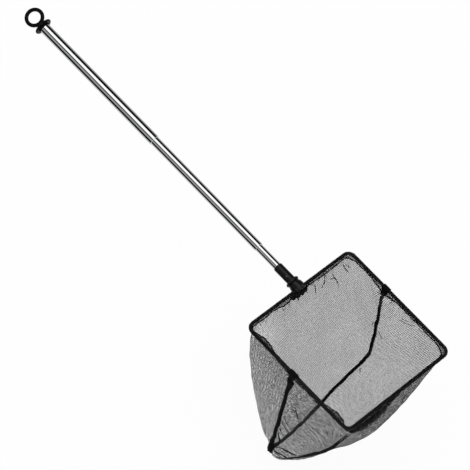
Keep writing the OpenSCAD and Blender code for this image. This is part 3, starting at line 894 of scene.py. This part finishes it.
def panel(piece, front):
    """A panel of netting, in rows from its top edge to the bottom seam."""
    across, down = 168, 84
    columns = [panel_column(front, i / across, down) for i in range(across + 1)]
    rows = []
    for j in range(down + 1):
        row = []
        for i in range(across + 1):
            here = columns[i][j]
            sideways = columns[min(i + 1, across)][j] - columns[max(i - 1, 0)][j]
            downward = columns[i][min(j + 1, down)] - columns[i][max(j - 1, 0)]
            out = sideways.cross(downward).normalized() * (-1 if front else 1)
            u, v = i / across, j / down
            depth = v * (columns[i][0] - columns[i][down]).length
            row.append(here + out * ripple(front, u, v, here, depth, top_run(front, u)))
        rows.append(row)
    skin(piece, rows)


net_black = (0.015, 0.015, 0.016)
net_worn = (0.042, 0.042, 0.044)
net_pitch = 1.3 * mm
net_open = -0.06
net_mottle = 0.9
net_t = 0.04 * mm
handle_net = netting("handle_net", net_black, net_worn, net_pitch, net_open, net_mottle,
                     stretch=0.37, flecks=3.8, fleck_size=0.75 * mm, rows="Y")
front_net = netting("front_net", net_black, net_worn, net_pitch, net_open, net_mottle,
                    stretch=0.4, flecks=2.6)


def lay_flat(cloth):
    """Gives a piece of cloth UVs in metres, as it was cut flat, so that its mesh keeps its size."""
    bpy.context.view_layer.objects.active = cloth
    cloth.select_set(True)
    bpy.ops.object.mode_set(mode="EDIT")
    bpy.ops.mesh.select_all(action="SELECT")
    bpy.ops.uv.unwrap(method="MINIMUM_STRETCH", iterations=2, margin=0)
    bpy.ops.object.mode_set(mode="OBJECT")
    cloth.select_set(False)
    spots = [loop.uv for loop in cloth.data.uv_layers.active.data]
    flat = real = 0.0
    for face in cloth.data.polygons:
        corners = [spots[i] for i in face.loop_indices]
        sides = zip(corners, corners[1:] + corners[:1])
        flat += abs(sum(a.x * b.y - b.x * a.y for a, b in sides)) / 2
        real += face.area
    for spot in spots:
        spot *= math.sqrt(real / flat)


for name, front, net in (("handle_panel", False, handle_net), ("front_panel", True, front_net)):
    cloth = sewn_piece(name + "_net", lambda piece: panel(piece, front), net, net_t)
    lay_flat(cloth)
    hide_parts(name)


# Creases: pleats pressed into the netting where it is gathered to the hem, where the seams pull it
# and down the near front corner. Each is a fine sharp fold, drawn as an opaque tube whose colour,
# darker than the netting's own, is painted shade.
column_steps = 60
crease_steps = 5
# In front or not, half the pleat's thickness in millimetres, and where it runs, as shares of the
# panel's width and depth
creases = [
    (False, 0.42, [(0.580, 0.02), (0.583, 0.08), (0.586, 0.15)]),
    (False, 0.42, [(0.632, 0.03), (0.63, 0.08), (0.614, 0.13)]),
    (False, 0.42, [(0.667, 0.05), (0.676, 0.11), (0.694, 0.2), (0.696, 0.27)]),
    (False, 0.42, [(0.655, 0.10), (0.668, 0.12), (0.682, 0.12)]),
    (False, 0.42, [(0.722, 0.04), (0.731, 0.1), (0.752, 0.18)]),
    (False, 0.42, [(0.735, 0.07), (0.748, 0.08), (0.757, 0.12)]),
    (False, 0.3, [(0.97, 0.50), (0.955, 0.56)]),
    (True, 0.28, [(0.93, 0.15), (0.90, 0.1), (0.872, 0.03)]),
    (True, 0.28, [(0.925, 0.11), (0.90, 0.07)]),
    (True, 0.28, [(0.727, 0.97), (0.715, 0.93), (0.703, 0.89)]),
    (True, 0.28, [(0.985, 0.56), (0.955, 0.57), (0.94, 0.62)]),
    (True, 0.28, [(0.015, 0.24), (0.04, 0.31), (0.085, 0.36)]),
    (True, 0.5, [(0.045, 0.27), (0.062, 0.31), (0.075, 0.335)]),
    (True, 0.45, [(0.006, 0.54), (0.04, 0.57), (0.077, 0.56)]),
    (True, 0.35, [(0.015, 0.48), (0.048, 0.51), (0.08, 0.5)]),
    (True, 0.35, [(0.006, 0.63), (0.03, 0.66), (0.07, 0.665)]),
    (True, 0.8, [(0.075, 0.99), (0.1, 0.9), (0.135, 0.79), (0.185, 0.65)]),
    (True, 0.75, [(0.085, 0.86), (0.14, 0.63), (0.165, 0.57)]),
    (True, 0.75, [(0.012, 0.70), (0.065, 0.78), (0.09, 0.82)]),
    (True, 1.1, [(0.262, 0.03), (0.245, 0.12), (0.232, 0.22), (0.214, 0.31), (0.182, 0.49),
                 (0.167, 0.72), (0.16, 0.85)]),
    (True, 1.1, [(0.276, 0.02), (0.256, 0.12), (0.243, 0.21), (0.221, 0.33), (0.196, 0.46),
                 (0.18, 0.56)]),
]
# Where along a panel's width the short creases below its hem start, for the handle's side and the front
short_creases = {False: [u / 100 for u in range(27, 49, 2)] + [u / 200 for u in range(107, 148, 3)],
                  True: [u / 100 for u in range(4, 97, 2)]}


def on_panel(front, u, v):
    """A point of a panel's surface and the way out of the bag."""
    column = panel_column(front, u, column_steps)
    beside = panel_column(front, u + 0.004, column_steps)
    low = min(column_steps - 1, int(v * column_steps))
    here = column[low].lerp(column[low + 1], v * column_steps - low)
    out = (beside[low] - column[low]).cross(column[low + 1] - column[low]).normalized() * (-1 if front else 1)
    depth = v * (column[0] - column[-1]).length
    return here + out * ripple(front, u, v, here, depth, top_run(front, u)), out


def crease(piece, front, marks, radius):
    """A sharp pleat through the marks, thickest in its middle."""
    end_share = 0.25
    waver = 0.3
    sway = 0.3 * mm
    flatness = 0.8
    points = []
    for a, b in zip(marks, marks[1:]):
        for k in range(crease_steps):
            t = k / crease_steps
            points.append(on_panel(front, a[0] + (b[0] - a[0]) * t, a[1] + (b[1] - a[1]) * t))
    points.append(on_panel(front, *marks[-1]))
    rows = []
    last = len(points) - 1
    for i, (place, out) in enumerate(points):
        along = (points[min(i + 1, last)][0] - points[max(i - 1, 0)][0]).normalized()
        wide = along.cross(out).normalized()
        r = radius * (end_share + (1 - end_share) * math.sin(math.pi * (i + 0.5) / (last + 1)))
        r *= 1 + waver * wobble(place, 2 * mm)
        place = place + wide * sway * wobble(place, 3 * mm, 2.0)
        rows.append([place + wide * r * math.cos(a) + out * flatness * r * math.sin(a) for a in around(6)])
    skin(piece, rows, ring=True, capped=True)


def pressed_creases(piece, side):
    """A panel's own creases, and a row of short ones below its hem."""
    draw = random.Random(31 if side else 32)
    for front, radius, marks in creases:
        if front == side:
            crease(piece, front, marks, radius * mm)
    for u in short_creases[side]:
        length = draw.uniform(0.012, 0.05) * (0.6 if side else 1)
        slant = draw.uniform(-0.02, 0.02)
        top = draw.uniform(0.0, 0.012)
        u += draw.uniform(-0.006, 0.006)
        marks = [(u, 0.003 + top), (u + slant * 0.4, top + length * 0.6), (u + slant, top + length)]
        crease(piece, side, marks, draw.uniform(0.14, 0.28) * mm)


# The creases' cloth: an opaque colour darker than the netting's own, painted shade in the folds. The wad
# under the connector uses it too.
crease_finish = twill("crease_cloth", (0.005, 0.005, 0.0055), (0.015, 0.015, 0.0155))
for name, side in (("handle_panel_creases", False), ("front_panel_creases", True)):
    sewn_piece(name, lambda piece: pressed_creases(piece, side), crease_finish)


# Gathers: spare netting that the hem's stitches have bunched up outside the front rim, next to the
# near corner, and a wad of it under the connector where the two ends of the hem are sewn off.
gathers_from = 177 * mm
gathers_to = 234 * mm
gather_layers = 3
gather_steps = 90
gathers_t = 0.05 * mm
wad_half = 10.5 * mm
wad_t = 0.3 * mm
wad_loops = 26


def front_gathers(piece):
    """Layers of pleated netting that hang from under the wire, fullest near their start."""
    least_drop = 3
    full_drop = 4
    layer_drop = 1.4
    drop_waver = 1.3
    pleat_pitch = 3.4
    pleat_depth = 0.75
    off_wire = 1.7
    off_foot = 1.8
    down_steps = 8
    for layer in range(gather_layers):
        rows = []
        for i in range(gather_steps + 1):
            t = i / gather_steps
            run = gathers_from + (gathers_to - gathers_from) * t
            middle, inward = rim(run)
            full = math.sin(math.pi * min(1, t / 0.3) / 2) * (1 - smooth((t - 0.55) / 0.45))
            drop = least_drop + (full_drop + layer_drop * layer) * full
            drop = (drop + drop_waver * wobble((run, layer, 0), 4 * mm)) * mm
            turn = 2 * math.pi * run / ((pleat_pitch + layer) * mm) + 2.5 * wobble((run, 0, layer), 9 * mm)
            pleat = pleat_depth * math.sin(turn) * (0.3 + full)
            row = []
            for j in range(down_steps + 1):
                share = j / down_steps
                swing = (0.5 + 0.7 * layer) * full + pleat * share * (1 - 0.5 * share)
                row.append(middle - inward * (off_wire + off_foot * share * full + swing) * mm
                           - up * (wire_d * 0.3 + drop * share))
            rows.append(row)
        skin(piece, rows)


def wad(piece):
    """A pleated lump of cloth round the barrel's end, with loops of thread below it."""
    cross_steps = 40
    down_steps = 12
    top = 1.5
    drop = 8.2
    off_wire = 1.4
    off_foot = 0.8
    off_barrel = 0.5
    belly = 1.4
    pleat_depth = 0.45 * mm
    draw = random.Random(19)
    middle, inward = rim(0)
    along = inward.cross(up)
    barrel_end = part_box("connector")[1].x
    rows = []
    for i in range(cross_steps + 1):
        t = 2 * i / cross_steps - 1
        bulge = smooth(1.6 * (1 - abs(t)))
        row = []
        for j in range(down_steps + 1):
            share = j / down_steps
            x = middle.x + (off_wire + off_foot * share) * mm
            x += (barrel_end + (off_barrel + belly * math.sin(math.pi * share)) * mm - x) * bulge
            turn = 13 * t + 5 * share + 2 * wobble((t, share, 0), 0.5)
            pleat = pleat_depth * math.sin(turn) * (0.4 + share)
            row.append(Vector((x + pleat, 0, middle.z + (top - drop * share) * mm)) + along * t * wad_half)
        rows.append(row)
    skin(piece, rows)
    for _ in range(wad_loops):
        side = draw.uniform(-1, 1)
        place = (middle + along * side * 8.5 * mm + inward * draw.uniform(0.6, 3.4) * mm
                 - Vector((0, 0, draw.uniform(3.2, 6.6) * mm)))
        way = (along * draw.uniform(-1, 1) + inward * draw.uniform(-0.5, 0.9)
               + Vector((0, 0, draw.uniform(-0.8, 0.5)))).normalized()
        bend = inward * draw.uniform(-1, 1) + Vector((0, 0, draw.uniform(-1, 0.4)))
        reach = draw.uniform(1.6, 3.6) * mm
        points = [place + way * reach * (t - 0.5) + bend * 1.3 * mm * math.sin(math.pi * t)
                  for t in (0, 0.17, 0.33, 0.5, 0.67, 0.83, 1)]
        thread(piece, points, draw.uniform(0.45, 0.8) * mm, 7)
    below = middle + inward * 2.6 * mm - Vector((0, 0, 5 * mm))
    frayed(piece, below + along * 4 * mm, 2.6 * mm, 3 * mm, 16, 3)
    frayed(piece, below - along * 4 * mm, 2.6 * mm, 3 * mm, 16, 4)


gathers = sewn_piece("front_hem_gathers", front_gathers, hem_net, gathers_t)
hem_wad = sewn_piece("connector_hem_wad", wad, crease_finish, wad_t)


# Bindings: narrow folded tape that covers the raw edges of the seams, one down the near side
# seam, one along the bottom and up the far side seam. Both end bunched in a knot at the corner.
def taped(piece, path, outward, width, thickness, seed):
    """A folded tape along points, uneven as sewn tape is, with a row of stitches."""
    width_waver = 0.16
    thickness_waver = 0.25
    rows = []
    last = len(path) - 1
    run = 0.0
    stitch_line = []
    for i, p in enumerate(path):
        along = (path[min(i + 1, last)] - path[max(i - 1, 0)]).normalized()
        out = (outward(i / last) - along * outward(i / last).dot(along)).normalized()
        wide = along.cross(out)
        run += (p - path[max(i - 1, 0)]).length
        half = width(i / last) / 2 * (1 + width_waver * wobble((run, 0, 0), 3 * mm, seed))
        sway = long_sway * wobble((run, 0, 0), 11 * mm, seed + 3)
        sway += short_sway * wobble((run, 0, 0), 4 * mm, seed + 4)
        tall = thickness / 2 * (1 + thickness_waver * wobble((run, 0, 0), 2.4 * mm, seed + 5))
        centre = p + wide * sway
        rows.append([centre + wide * half * math.copysign(abs(math.cos(a)) ** 0.7, math.cos(a))
                     + out * tall * math.copysign(abs(math.sin(a)) ** 0.8, math.sin(a))
                     for a in around(12, 0.5)])
        stitch_line.append(centre + out * (tall + 0.03 * mm))
    skin(piece, rows, ring=True, capped=True)
    for i in range(1, len(path) - 2, 3):
        thread(piece, [stitch_line[i], stitch_line[i].lerp(stitch_line[i + 1], 0.8)], tape_stitch_r, 4)


def seam_path(start, end, count):
    """Points along a straight seam."""
    return [start.lerp(end, i / count) for i in range(count + 1)]


tape_w = 3.2 * mm
tape_end_w = 1.4 * mm
near_tape_w = 3.7 * mm
near_tape_foot_w = 2.4 * mm
near_tape_head_w = 3.4 * mm
tape_t = 1.9 * mm
long_sway = 0.8 * mm
short_sway = 0.35 * mm
tape_stitch_r = 0.12 * mm
bottom_out = Vector((-1, 0, -1)).normalized()
near_top = Vector((frame_x - near_seam_back, -frame_l / 2, net_top))
far_top = Vector((frame_x - far_seam_back, frame_l / 2, net_top))


def near_tape(piece):
    """The near side seam's tape, wider where it meets the hem and in the knot."""
    start = near_top.lerp(near_end, 0.04) - Vector((0, 0.5 * mm, 0))
    path = seam_path(start, on_bottom_seam(0) + Vector((0, -0.4 * mm, 0.5 * mm)), 100)

    def width(t):
        foot = near_tape_foot_w * smooth((t - 0.8) / 0.2)
        return near_tape_w + foot + near_tape_head_w * smooth((0.14 - t) / 0.14)

    taped(piece, path, lambda t: Vector((0, -1, 0)), width, tape_t, 1.0)


def bottom_tape(piece):
    """The other tape: along the bottom from the knot, and up the far side seam."""
    bottom = [on_bottom_seam(i / 110) + bottom_out * 0.4 * mm for i in range(2, 111)]
    side = [p + Vector((0, 0.5 * mm, 0)) + seam_pull(far_seam_run, (p - far_top).length)
            for p in seam_path(far_end, far_top, 84)][1:-3]
    taped(piece, bottom + side, lambda t: bottom_out.lerp(Vector((0, 1, 0)), smooth((t - 0.5) / 0.1)),
          lambda t: tape_w + tape_end_w * smooth((0.04 - t) / 0.04), tape_t, 2.0)


def seam_knot(piece):
    """Both tape ends, folded back and forth and sewn down at the corner."""
    knot_folds = 11
    fold_layers = 6
    fold_step = 1.6 * mm
    fold_r = 0.55 * mm
    fold_bow = 0.9 * mm
    draw = random.Random(7)
    corner = on_bottom_seam(0)
    seam_up = (near_top - corner).normalized()
    for k in range(knot_folds):
        place = corner + Vector((0, -0.5 * mm, 0.3 * mm)) + seam_up * (k % fold_layers) * fold_step
        turn = 2 * math.pi * k / knot_folds + draw.uniform(-0.3, 0.3)
        way = Vector((0.75 * math.cos(turn), 0.25 * draw.uniform(-1, 1), 1.25 * math.sin(turn)))
        reach = (2.5 + draw.uniform(-0.6, 0.9)) * mm
        side = Vector((draw.uniform(-1, 1), draw.uniform(-1, 0.2), draw.uniform(-1, 1))).normalized()
        loop = [place + way * reach * math.sin(math.pi * t) + side * fold_bow * math.sin(2 * math.pi * t)
                for t in (0, 0.15, 0.3, 0.45, 0.6, 0.75, 0.9, 1)]
        thread(piece, loop, fold_r, 7)
    frayed(piece, corner + Vector((0, -0.5 * mm, 0.5 * mm)), 2 * mm, 2.6 * mm, 18, 11)
    frayed(piece, corner + seam_up * 8 * mm - Vector((0, 0.6 * mm, 0)), 1.6 * mm, 2.4 * mm, 14, 12)


near_binding = sewn_piece("near_seam_binding", near_tape, tape_finish)
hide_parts("near_binding")
bottom_binding = sewn_piece("bottom_seam_binding", bottom_tape, tape_finish)
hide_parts("bottom_binding")
knot = sewn_piece("seam_knot", seam_knot, tape_finish)
